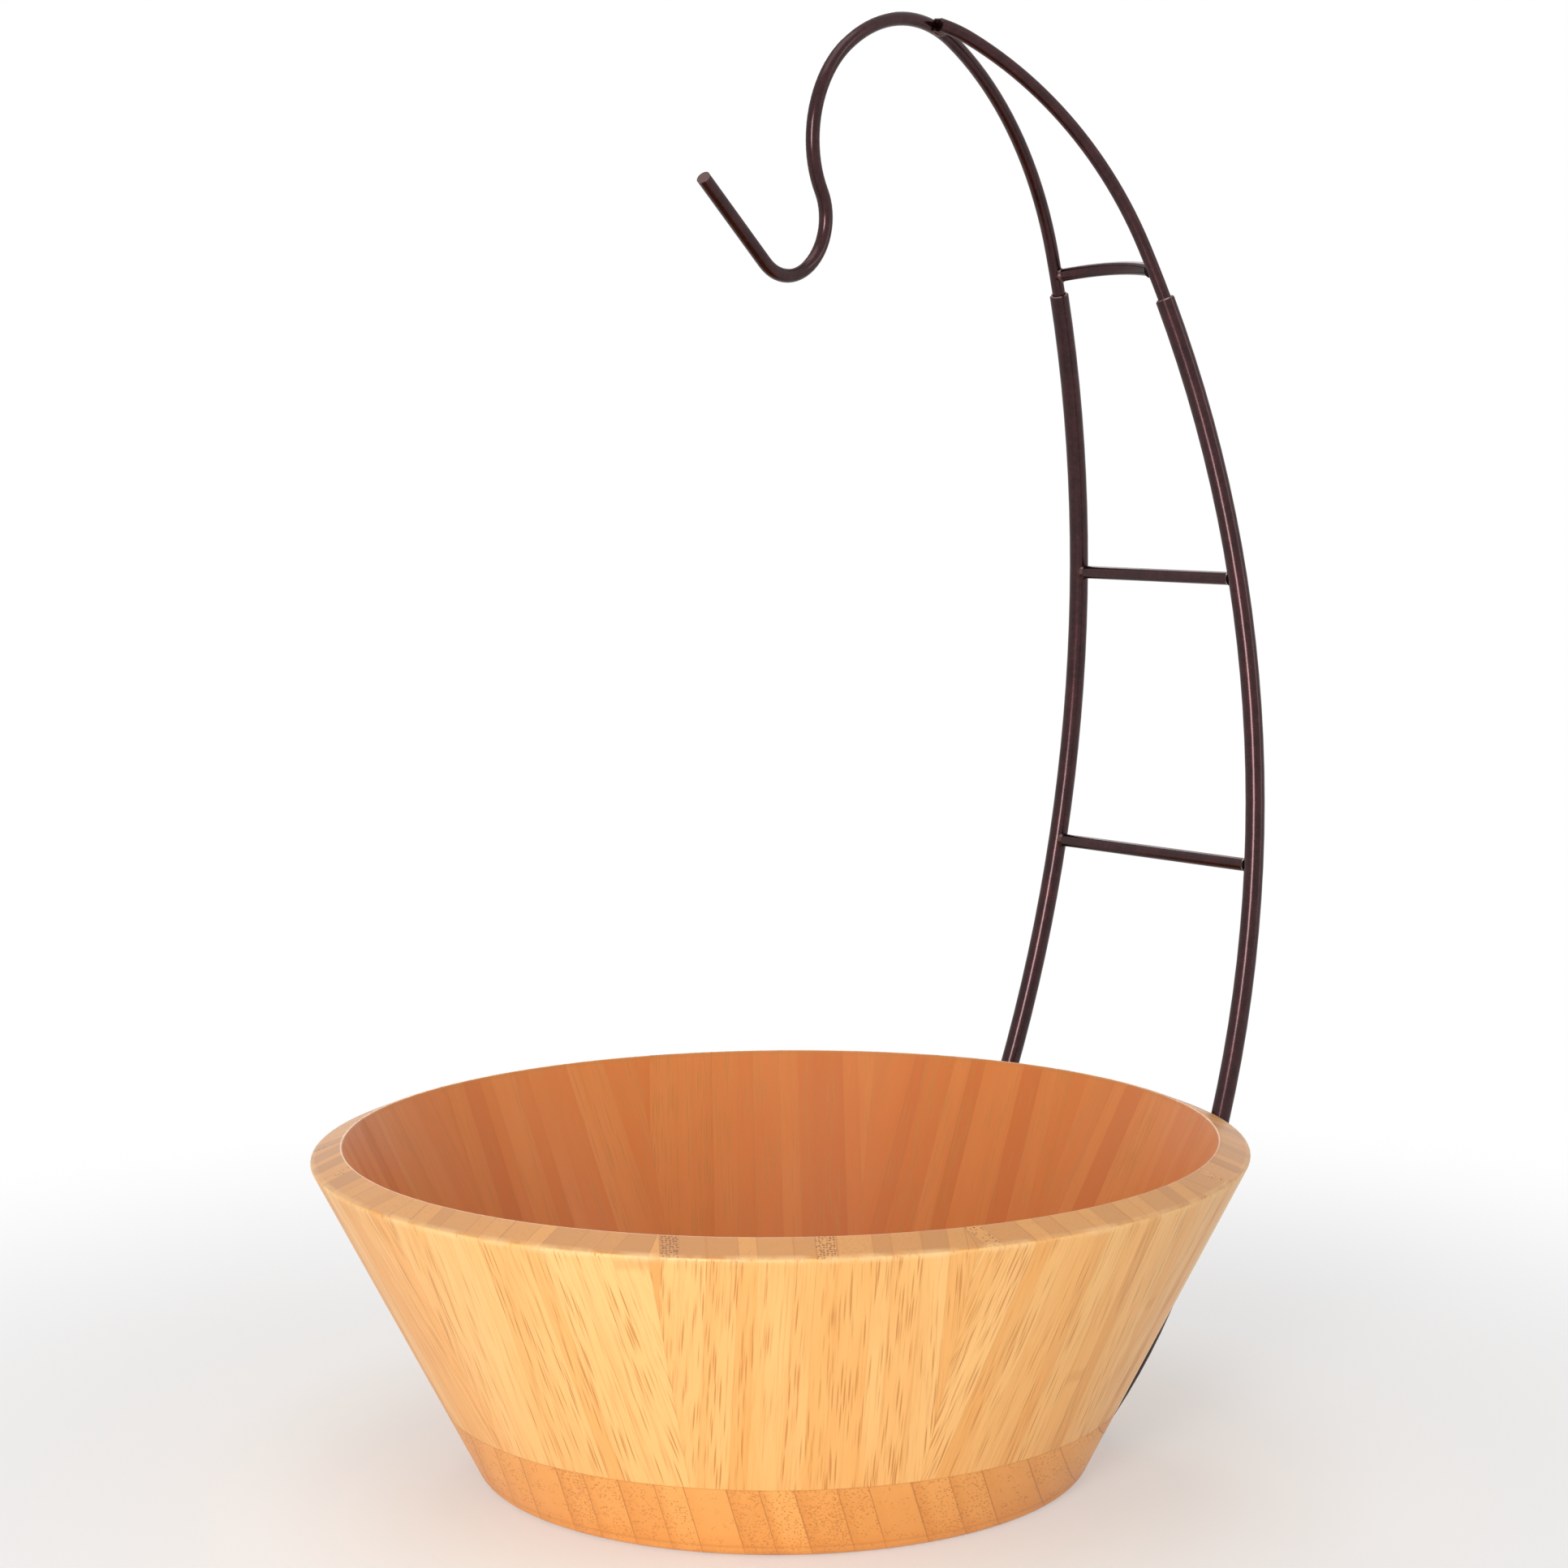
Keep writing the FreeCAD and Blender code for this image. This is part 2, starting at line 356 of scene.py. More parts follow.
def between(pair: Span, share: Signal) -> Signal:
    """Moves from one number to another.

    Args:
        pair: the two numbers.
        share: how far to go, from 0 to 1.

    Returns:
        The first number where the share is 0, the second where it is 1.
    """
    first, second = pair
    return share * (second - first) + first


def new_finish(slot: str) -> Tuple[bpy.types.Material, NodeSheet]:
    """Starts a material.

    Args:
        slot: the name of the finish, which starts the material's name.

    Returns:
        The material and the sheet for its nodes.
    """
    material = bpy.data.materials.new(slot + "_finish")
    material.use_nodes = True
    return material, NodeSheet(material.node_tree)


@dataclass(frozen=True)
class Gloss:
    """The parts of a finish that are the same all over it."""

    coat: float = 0.0
    coat_roughness: float = 0.1
    specular: float = 0.5
    ior: float = 1.5
    tint: Tone = WHITE

    def settings(self) -> Inputs:
        """Returns: the values for the shader's own sockets."""
        return {
            "Coat Weight": self.coat,
            "Coat Roughness": self.coat_roughness,
            "Specular IOR Level": self.specular,
            "IOR": self.ior,
            "Specular Tint": self.tint,
        }


@dataclass(frozen=True)
class Marks:
    """How much each mark of the grain counts, for the height or for the roughness."""

    streak: float
    pore: float = 0.0
    coarse: float = 0.0
    seam: float = 0.0
    knuckle: float = 0.0


@dataclass(frozen=True)
class Spread:
    """How a strip's colour moves from one tone to another."""

    tone: float
    cloud: float
    start: float = 0.0
    edge: Span = (0.0, 1.0)


@dataclass(frozen=True)
class Rub:
    """Wear on an edge: how far in it reaches, its patches, and how much it shows."""

    reach: Span
    pitch: float
    patches: Span
    share: float
    matt: float

    def read(
        self, sheet: NodeSheet, place: Tuple[Signal, Signal, Signal], away: Signal
    ) -> Signal:
        """Builds the wear.

        Args:
            sheet: the sheet to build on.
            place: the object coordinates in millimetres.
            away: millimetres from the edge.

        Returns:
            1 where the edge is worn, 0 elsewhere.
        """
        spot = sheet.vector(*(way * self.pitch for way in place))
        return away.fall(*self.reach) * sheet.noise(spot, 1.0, 3.0).rise(*self.patches)


@dataclass(frozen=True)
class Fibres:
    """A place among the fibres of one strip, in millimetres."""

    sheet: NodeSheet
    side: Signal
    deep: Signal
    along: Signal
    shift: Signal

    def spot(
        self, across_pitch: float, along_pitch: float, aside: Operand = 0.0, below: float = 0.0
    ) -> Signal:
        """Counts the place in long patches.

        Args:
            across_pitch: patches per millimetre across the fibres.
            along_pitch: patches per millimetre along them.
            aside: patches to move by, across.
            below: patches to move by, downwards.

        Returns:
            The place as a vector.
        """
        return self.sheet.vector(
            self.side * across_pitch + aside,
            self.deep * across_pitch + below,
            self.along * along_pitch + self.shift,
        )


@dataclass(frozen=True)
class Grain:
    """What the grain of laminated bamboo gives at a point, each from 0 to 1."""

    tone: Signal
    seam: Signal
    shade: Signal
    streak: Signal
    pore: Signal
    coarse: Signal
    knuckle: Signal
    cloud: Signal

    def total(self, marks: Marks) -> Signal:
        """Adds up the marks.

        Args:
            marks: how much each of them counts.

        Returns:
            Their weighted sum.
        """
        return (
            self.streak * marks.streak
            + self.pore * marks.pore
            + self.coarse * marks.coarse
            + self.seam * marks.seam
            + self.knuckle * marks.knuckle
        )

    def spread(self, spread: Spread, more: Operand = 0.0) -> Signal:
        """Finds a place between two tones.

        Args:
            spread: the shares of the strip's tone and of its clouds.
            more: what is added to them.

        Returns:
            0 for the first tone, 1 for the second.
        """
        amount = self.tone * spread.tone + self.cloud * spread.cloud + more
        return (amount + spread.start).rise(*spread.edge)


@dataclass(frozen=True)
class Laminate:
    """Bamboo strips glued side by side, with fibres that run through the solid.

    Lengths are in millimetres, a pitch is in patches per millimetre, and an edge is the
    start and the end of a soft step. Faces along the fibres show streaks, and faces
    across them show the pores of the same fibres.
    """

    strip: float
    wander: float = 0.2
    warp: float = 2.4
    plank_shift: float = 7.3
    strip_shift: float = 310.0
    second_draw: float = 5.0
    seam: float = 0.18
    seam_edge: Span = (0.4, 1.6)
    shade_edge: Span = (0.0, 0.45)
    shade_least: float = 0.35
    tilt: float = 0.03
    sway: float = 1.6
    sway_pitch: Span = (0.06, 0.02)
    cloud_pitch: Span = (0.09, 0.018)
    fine: float = 0.45
    fine_pitch: float = 0.035
    fine_rough: float = 0.62
    fine_edge: Span = (0.50, 0.72)
    fine_share: float = 0.6
    line_size: Span = (2.1, 2.4)
    line_below: float = 40.0
    line_edge: Span = (0.05, 0.20)
    line_share: float = 0.5
    pore_spacing: float = 0.8
    pore_length: float = 20.0
    pore_edge: Span = (0.16, 0.46)
    pore_shift: float = 3.7
    crowd_pitch: Span = (0.30, 0.018)
    crowd_edge: Span = (0.37, 0.56)
    crowd_spread: float = 0.22
    coarse_size: Span = (1.2, 0.8)
    coarse_scatter: float = 0.55
    coarse_edge: Span = (0.27, 0.47)
    coarse_strips: Span = (0.83, 0.85)
    knuckles: float = 0.12
    knuckle_step: float = 0.02
    knuckle_gap: float = 300.0
    knuckle_edge: Span = (0.6, 3.4)
    knuckle_ragged: float = 3.0
    knuckle_pitch: Span = (1.3, 0.5)

    def read(
        self, sheet: NodeSheet, across: Signal, deep: Signal, along: Signal, plank: Operand
    ) -> Grain:
        """Builds the grain.

        Args:
            sheet: the sheet to build on.
            across: millimetres square to the strips.
            deep: millimetres through the board.
            along: millimetres along the fibres.
            plank: the number of the board, so that no two look alike.

        Returns:
            The grain at each point.
        """
        warp = (across * (self.warp / self.strip) + plank * self.plank_shift).sine()
        step = across / self.strip + warp * self.wander
        strip = step.floor()
        share = step - strip
        tone, crowd, tilt = sheet.lots(strip, plank)
        open_pores, ring, _ = sheet.lots(strip, plank, self.second_draw)

        straight = Fibres(sheet, across, deep, along, tone * self.strip_shift)
        sway = sheet.noise(straight.spot(*self.sway_pitch), 1.0, 1.0) - 0.5
        side = across + along * ((tilt - 0.5) * self.tilt) + sway * self.sway
        fibres = Fibres(sheet, side, deep, along, straight.shift)
        edge = share.least(1.0 - share) * (self.strip / self.seam)
        return Grain(
            tone=tone,
            seam=edge.fall(*self.seam_edge),
            shade=share.fall(*self.shade_edge) * between((self.shade_least, 1.0), crowd),
            streak=self._streaks(fibres),
            pore=self._pores(fibres, strip, crowd),
            coarse=self._coarse(straight) * open_pores.rise(*self.coarse_strips),
            knuckle=self._knuckles(fibres, ring, crowd),
            cloud=sheet.noise(straight.spot(*self.cloud_pitch), 1.0, 3.0),
        )

    def _streaks(self, fibres: Fibres) -> Signal:
        """Builds the fine dark fibres and the longer lines between them.

        Args:
            fibres: the place among the fibres.

        Returns:
            1 on the darkest of them, 0 elsewhere.
        """
        sheet = fibres.sheet
        wide, long = self.line_size
        fine = sheet.noise(
            fibres.spot(1.0 / self.fine, self.fine_pitch), 1.0, 4.0, self.fine_rough
        )
        lines = sheet.cells(fibres.spot(
            1.0 / (self.pore_spacing * wide), 1.0 / (self.pore_length * long),
            below=self.line_below,
        ))
        return (fine.rise(*self.fine_edge) * self.fine_share
                + lines.fall(*self.line_edge) * self.line_share)

    def _pores(self, fibres: Fibres, strip: Signal, chance: Signal) -> Signal:
        """Builds the bundles of fibres, dashes along the grain and dots across it.

        Args:
            fibres: the place among the fibres.
            strip: the number of the strip.
            chance: a random number of the strip, higher where it has more bundles.

        Returns:
            1 in a bundle, 0 elsewhere.
        """
        sheet = fibres.sheet
        pores = sheet.cells(fibres.spot(
            1.0 / self.pore_spacing, 1.0 / self.pore_length, aside=strip * self.pore_shift
        ))
        crowd = sheet.noise(fibres.spot(*self.crowd_pitch), 1.0, 2.0)
        crowd = crowd + (chance - 0.5) * self.crowd_spread
        return pores.fall(*self.pore_edge) * crowd.rise(*self.crowd_edge)

    def _coarse(self, fibres: Fibres) -> Signal:
        """Builds the large open pores that a few of the strips have.

        Args:
            fibres: the place among the fibres.

        Returns:
            1 in a pore, 0 elsewhere.
        """
        wide, long = self.coarse_size
        spot = fibres.spot(1.0 / (self.pore_spacing * wide), 1.0 / (self.pore_length * long))
        return fibres.sheet.cells(spot, self.coarse_scatter).fall(*self.coarse_edge)

    def _knuckles(self, fibres: Fibres, place: Signal, chance: Signal) -> Signal:
        """Builds the ragged rings of the cane, on a few of the strips.

        Args:
            fibres: the place among the fibres.
            place: a random number of the strip, for the height of its rings.
            chance: a random number of the strip, low where it has rings.

        Returns:
            1 on a ring, 0 elsewhere.
        """
        sheet = fibres.sheet
        across, along = self.knuckle_pitch
        ring = fibres.along / self.knuckle_gap + place
        near = (ring.fract() - 0.5).size() * self.knuckle_gap
        ragged = sheet.noise(
            sheet.vector(fibres.side * across, fibres.deep * across, fibres.along * along)
        )
        near = near + (ragged - 0.5) * self.knuckle_ragged
        some = chance.fall(self.knuckles, self.knuckles + self.knuckle_step)
        return near.fall(*self.knuckle_edge) * some


@dataclass(frozen=True)
class Board:
    """Where a point of the wall lies in its own flat stave, in millimetres."""

    across: Signal
    deep: Signal
    along: Signal
    level: Signal
    plank: Signal
    tint: Signal


@dataclass(frozen=True)
class StaveBamboo:
    """The turned wall: flat laminated staves that lean outwards, glued into a ring.

    Lengths are in millimetres and angles in degrees. A pair with _show says how strongly
    a mark colours the face of the staves and their end grain on the rim, and an edge is
    the start and the end of a soft step.
    """

    slot: str = "bamboo_staves"
    staves: int = 10
    first_joint: float = -52.2
    lean: float = 27.0
    rim_radius: float = 145.4
    rim_height: float = 99.9
    rim_tilt: float = 21.9
    wall: float = 10.7
    foot: float = 23.5
    slant: float = 2.2
    grain_start: float = 140.0
    stave_draw: float = 3.0
    rim_edge: Span = (-0.55, -0.15)
    inside_edge: Span = (0.60, 0.75)
    under_rim_shade_edge: Span = (-2.2, -1.2)
    joint_edge: Span = (0.05, 0.35)
    glue_line_shade_height: float = 0.5
    pale: Tone = Tone(0.96, 0.570, 0.205)
    honey: Tone = Tone(0.88, 0.420, 0.108)
    tan: Tone = Tone(0.78, 0.350, 0.085)
    streak: Tone = Tone(0.57, 0.220, 0.042)
    pore: Tone = Tone(0.24, 0.090, 0.026)
    # inner: painted shade, multiplied over the inner side of the wall so that it reads darker
    # and redder than the outer side
    inner: Tone = Tone(0.76, 0.440, 0.250)
    end: Tone = Tone(0.52, 0.195, 0.040)
    end_pale: Tone = Tone(0.74, 0.330, 0.082)
    rubbed: Tone = Tone(0.96, 0.66, 0.34)
    spread: Spread = Spread(tone=0.55, cloud=0.75, start=-0.25, edge=(0.05, 0.95))
    stave_share: float = 0.25
    tan_strips: Span = (0.72, 1.0)
    tan_share: float = 0.55
    shade_share: float = 0.22
    end_spread: Spread = Spread(tone=0.9, cloud=0.3, edge=(0.1, 1.0))
    wear: Rub = Rub(reach=(0.9, 2.6), pitch=0.12, patches=(0.30, 0.62), share=0.40, matt=0.10)
    streak_show: Span = (1.0, 0.25)
    pore_show: Span = (0.80, 0.45)
    seam_show: Span = (0.14, 0.80)
    joint_show: Span = (0.18, 0.70)
    coarse_show: Span = (0.40, 0.85)
    rim_coat: float = 0.42
    end_share: float = 0.85
    knuckle_share: float = 0.28
    under_rim_shade_share: float = 0.35
    glue_line_shade_share: float = 0.12
    calm_streaks: float = 0.45
    inside_streaks: float = 0.6
    matt: float = 0.40
    cloud_matt: float = 0.14
    rim_matt: float = 0.05
    matt_marks: Marks = Marks(streak=0.10, coarse=0.16)
    relief: Marks = Marks(streak=0.16, pore=0.22, coarse=0.45, seam=0.30, knuckle=0.15)
    joint_relief: float = 0.3
    depth: float = 0.10
    bump: float = 0.55
    grain: Laminate = Laminate(strip=7.2)
    gloss: Gloss = Gloss(coat=0.22, coat_roughness=0.32, specular=0.45)

    def build(self) -> bpy.types.Material:
        """Returns: the material of the wall."""
        material, sheet = new_finish(self.slot)
        place = x, y, z = sheet.place()
        radius = (x * x + y * y).root()
        board = self._board(sheet, x, y, z, radius)
        grain = self.grain.read(sheet, board.across, board.deep, board.along, board.plank)

        tilt = math.tan(math.radians(self.rim_tilt))
        over_face = (z - self.rim_height) - (self.rim_radius - radius) * tilt
        on_rim = over_face.rise(*self.rim_edge)
        inside = self._inside(radius, z) * (1.0 - on_rim)
        joint = self._joint(board, radius)
        out, up = radius - self.rim_radius, z - self.rim_height
        worn = self.wear.read(sheet, place, (out * out + up * up).root())
        # Painted shade: a dark line on the inner wall just under the rim's edge.
        under_rim_shade = inside * over_face.rise(*self.under_rim_shade_edge)
        # Painted shade: the wall is darkened over its lowest half millimetre, where it meets
        # the disc, as the shade of that joint.
        glue = z.fall(self.foot, self.foot + self.glue_line_shade_height)

        colour = self._faces(sheet, grain, board.tint, on_rim, inside)
        colour = self._mark(sheet, colour, grain, on_rim, inside)
        colour = sheet.mix(joint * between(self.joint_show, on_rim), colour, self.streak)
        colour = sheet.mix(worn * self.wear.share, colour, self.rubbed)
        # Painted shade under the rim's inner edge.
        colour = sheet.mix(under_rim_shade * self.under_rim_shade_share, colour, self.streak)
        # Painted shade along the joint with the disc.
        colour = sheet.mix(glue * self.glue_line_shade_share, colour, self.streak)

        matt = grain.total(self.matt_marks) + grain.cloud * self.cloud_matt
        matt = matt + worn * self.wear.matt + on_rim * self.rim_matt
        height = 1.0 - grain.total(self.relief) - joint * self.joint_relief
        inputs = self.gloss.settings()
        inputs["Base Color"] = colour
        inputs["Roughness"] = matt + self.matt
        inputs["Coat Weight"] = between((self.gloss.coat, self.rim_coat), on_rim)
        inputs["Normal"] = sheet.bump(height, self.depth, self.bump)
        sheet.principled(inputs)
        return material

    def _board(
        self, sheet: NodeSheet, x: Signal, y: Signal, z: Signal, radius: Signal
    ) -> Board:
        """Lays the wall out as flat boards.

        Args:
            sheet: the sheet to build on.
            x: millimetres along X.
            y: millimetres along Y.
            z: millimetres over the table.
            radius: millimetres from the bowl's axis.

        Returns:
            The place of each point in its own board.
        """
        angle = sheet.math("ARCTAN2", y, x)
        turn = (angle - math.radians(self.first_joint)) * (self.staves / math.tau) + self.staves
        stave = turn.floor()
        offset = (turn - stave - 0.5) * (math.tau / self.staves)
        plank = stave - (stave / self.staves).floor() * self.staves
        level = offset.sine() * radius
        outward = offset.cosine() * radius

        lean = math.radians(self.lean)
        slope = z * math.cos(lean) + outward * math.sin(lean) - self.grain_start
        deep = outward * math.cos(lean) - z * math.sin(lean)
        chance, tint, _ = sheet.lots(plank, self.stave_draw)
        slant = (chance - 0.5) * math.radians(2 * self.slant)
        across = level * slant.cosine() + slope * slant.sine()
        along = slope * slant.cosine() - level * slant.sine()
        return Board(across, deep, along, level, plank, tint)

    def _inside(self, radius: Signal, z: Signal) -> Signal:
        """Tells the sides of the wall apart.

        Args:
            radius: millimetres from the bowl's axis.
            z: millimetres over the table.

        Returns:
            1 on the inner side, 0 on the outer side.
        """
        lean = math.radians(self.lean)
        cone = self.rim_radius - (self.rim_height - z) * math.tan(lean)
        return ((cone - radius) * (math.cos(lean) / self.wall)).rise(*self.inside_edge)

    def _joint(self, board: Board, radius: Signal) -> Signal:
        """Finds the glue lines between the staves.

        Args:
            board: the place in its stave.
            radius: millimetres from the bowl's axis.

        Returns:
            1 on a glue line, 0 elsewhere.
        """
        half = math.sin(math.pi / self.staves)
        return (board.level.size() - radius * half).size().fall(*self.joint_edge)

    def _faces(
        self, sheet: NodeSheet, grain: Grain, tint: Signal, on_rim: Signal, inside: Signal
    ) -> Signal:
        """Colours the strips.

        Args:
            sheet: the sheet to build on.
            grain: the grain at the point.
            tint: a random number of the stave.
            on_rim: 1 on the rim's face, 0 elsewhere.
            inside: 1 on the inner side of the wall, 0 elsewhere.

        Returns:
            The colour under the marks of the grain.
        """
        amount = grain.spread(self.spread, tint * self.stave_share)
        colour = sheet.mix(amount, self.pale, self.honey)
        colour = sheet.mix(grain.tone.rise(*self.tan_strips) * self.tan_share, colour, self.tan)
        colour = sheet.mix(grain.shade * self.shade_share, colour, self.tan)
        # Painted shade: the inner tone darkens and reddens the inner side of the wall.
        colour = sheet.mix(inside, colour, self.inner, Blend.MULTIPLY)
        end = sheet.mix(grain.spread(self.end_spread), self.end, self.end_pale)
        return sheet.mix(on_rim * self.end_share, colour, end)

    def _mark(
        self, sheet: NodeSheet, colour: Signal, grain: Grain, on_rim: Signal, inside: Signal
    ) -> Signal:
        """Lays the marks of the grain over a colour.

        Args:
            sheet: the sheet to build on.
            colour: the colour of the strips.
            grain: the grain at the point.
            on_rim: 1 on the rim's face, 0 elsewhere.
            inside: 1 on the inner side of the wall, 0 elsewhere.

        Returns:
            The marked colour.
        """
        streaks = grain.streak * between((self.calm_streaks, 1.0), grain.cloud)
        streaks = streaks * between(self.streak_show, on_rim)
        streaks = streaks * between((1.0, self.inside_streaks), inside)
        coarse_face, coarse_rim = self.coarse_show
        colour = sheet.mix(streaks, colour, self.streak)
        colour = sheet.mix(grain.pore * between(self.pore_show, on_rim), colour, self.streak)
        colour = sheet.mix(grain.coarse * on_rim * coarse_rim, colour, self.pore)
        colour = sheet.mix(grain.coarse * (1.0 - on_rim) * coarse_face, colour, self.streak)
        colour = sheet.mix(grain.knuckle * self.knuckle_share, colour, self.streak)
        return sheet.mix(grain.seam * between(self.seam_show, on_rim), colour, self.streak)


@dataclass(frozen=True)
class DiscBamboo:
    """The base disc: upright strips in one board, with end grain towards the front.

    Lengths are in millimetres and angles in degrees. A share says how strongly a mark
    colours the wood, and an edge is the start and the end of a soft step.
    """

    slot: str = "bamboo_disc"
    fibres: float = -45.0
    leaning: float = 9.6
    foot_height: float = 3.4
    top: float = 23.5
    plank: float = 4.0
    side: Tone = Tone(0.90, 0.425, 0.112)
    amber: Tone = Tone(0.74, 0.300, 0.064)
    fair: Tone = Tone(0.96, 0.510, 0.150)
    seam: Tone = Tone(0.42, 0.155, 0.036)
    speck: Tone = Tone(0.56, 0.210, 0.045)
    # rich: painted shade, a darker and deeper orange for the bottom of the disc
    bottom_painted_shade: Tone = Tone(0.78, 0.30, 0.060)
    foot_line_shade_edge: Span = (0.1, 0.7)
    glue_line_shade_edge: Span = (0.15, 0.55)
    bottom_painted_shade_edge: Span = (3.0, 9.0)
    fair_strips: Span = (0.0, 0.3)
    tone_share: float = 0.35
    cloud_share: float = 0.5
    amber_start: float = -0.15
    fair_share: float = 0.3
    shade_share: float = 0.80
    pore_share: float = 0.78
    streak_share: float = 0.30
    coarse_share: float = 0.35
    knuckle_share: float = 0.35
    seam_share: float = 0.62
    bottom_painted_shade_share: float = 0.35
    foot_line_shade_share: float = 0.20
    glue_line_shade_share: float = 0.25
    wear: Rub = Rub(reach=(0.6, 3.6), pitch=0.1, patches=(0.35, 0.65), share=0.35, matt=0.12)
    matt: float = 0.42
    cloud_matt: float = 0.12
    matt_marks: Marks = Marks(streak=0.08, pore=0.12)
    relief: Marks = Marks(streak=0.12, pore=0.32, coarse=0.4, seam=0.4)
    glue_relief: float = 0.5
    depth: float = 0.10
    bump: float = 0.55
    grain: Laminate = Laminate(
        strip=10.4, wander=0.10, seam=0.16, fine=0.42,
        pore_spacing=0.85, pore_length=30.0, knuckles=0.06,
    )
    gloss: Gloss = Gloss(coat=0.20, coat_roughness=0.34, specular=0.45)

    def build(self) -> bpy.types.Material:
        """Returns: the material of the disc."""
        material, sheet = new_finish(self.slot)
        place = x, y, z = sheet.place()
        way = math.radians(self.fibres)
        side = y * math.cos(way) - x * math.sin(way)
        along = x * math.cos(way) + y * math.sin(way)
        across = side + z * math.tan(math.radians(self.leaning))
        grain = self.grain.read(sheet, across, z, along, self.plank)

        # Painted shade: a thin dark line along the rounded bottom edge of the disc.
        foot = (z - self.foot_height).size().fall(*self.foot_line_shade_edge)
        # Painted shade: a dark line round the top of the disc, where the wall meets it; the
        # same mask also sinks the line in the bump.
        glue = (z - self.top).size().fall(*self.glue_line_shade_edge)
        worn = self.wear.read(sheet, place, z)

        amount = grain.tone * self.tone_share + grain.cloud * self.cloud_share
        colour = sheet.mix(amount + self.amber_start, self.side, self.amber)
        for share, tone in (
            (grain.tone.fall(*self.fair_strips) * self.fair_share, self.fair),
            (grain.shade * self.shade_share, self.amber),
            (grain.pore * self.pore_share, self.speck),
            (grain.streak * self.streak_share, self.speck),
            (grain.coarse * self.coarse_share, self.seam),
            (grain.knuckle * self.knuckle_share, self.seam),
            (grain.seam * self.seam_share, self.seam),
            # painted shade: darker, deeper orange towards the bottom of the disc
            (z.fall(*self.bottom_painted_shade_edge) * self.bottom_painted_shade_share, self.bottom_painted_shade),
            # painted shade along the bottom edge
            (foot * self.foot_line_shade_share, self.seam),
            # painted shade along the joint with the wall
            (glue * self.glue_line_shade_share, self.seam),
            (worn * self.wear.share, self.fair),
        ):
            colour = sheet.mix(share, colour, tone)

        matt = grain.total(self.matt_marks) + grain.cloud * self.cloud_matt
        matt = matt + worn * self.wear.matt
        height = 1.0 - grain.total(self.relief) - glue * self.glue_relief
        inputs = self.gloss.settings()
        inputs["Base Color"] = colour
        inputs["Roughness"] = matt + self.matt
        inputs["Normal"] = sheet.bump(height, self.depth, self.bump)
        sheet.principled(inputs)
        return material


@dataclass(frozen=True)
class BarEnd:
    """The open end of a tube or rod: its middle and the way that it faces, in millimetres."""

    middle: Tuple[float, float, float]
    facing: Tuple[float, float, float]
    reach: Span = (30.0, 60.0)
    lip: Span = (0.16, 0.50)

    def edge(self, place: Tuple[Signal, Signal, Signal]) -> Signal:
        """The bare cut face of the bar, lightened as a painted glint.

        Args:
            place: the object coordinates in millimetres.

        Returns:
            1 on the cut face, 0 elsewhere.
        """
        past: Operand = 0.0
        apart: Operand = 0.0
        for here, middle, way in zip(place, self.middle, self.facing):
            past = past + (here - middle) * way
            apart = apart + (here - middle) * (here - middle)
        return past.size().fall(*self.lip) * apart.fall(*self.reach)


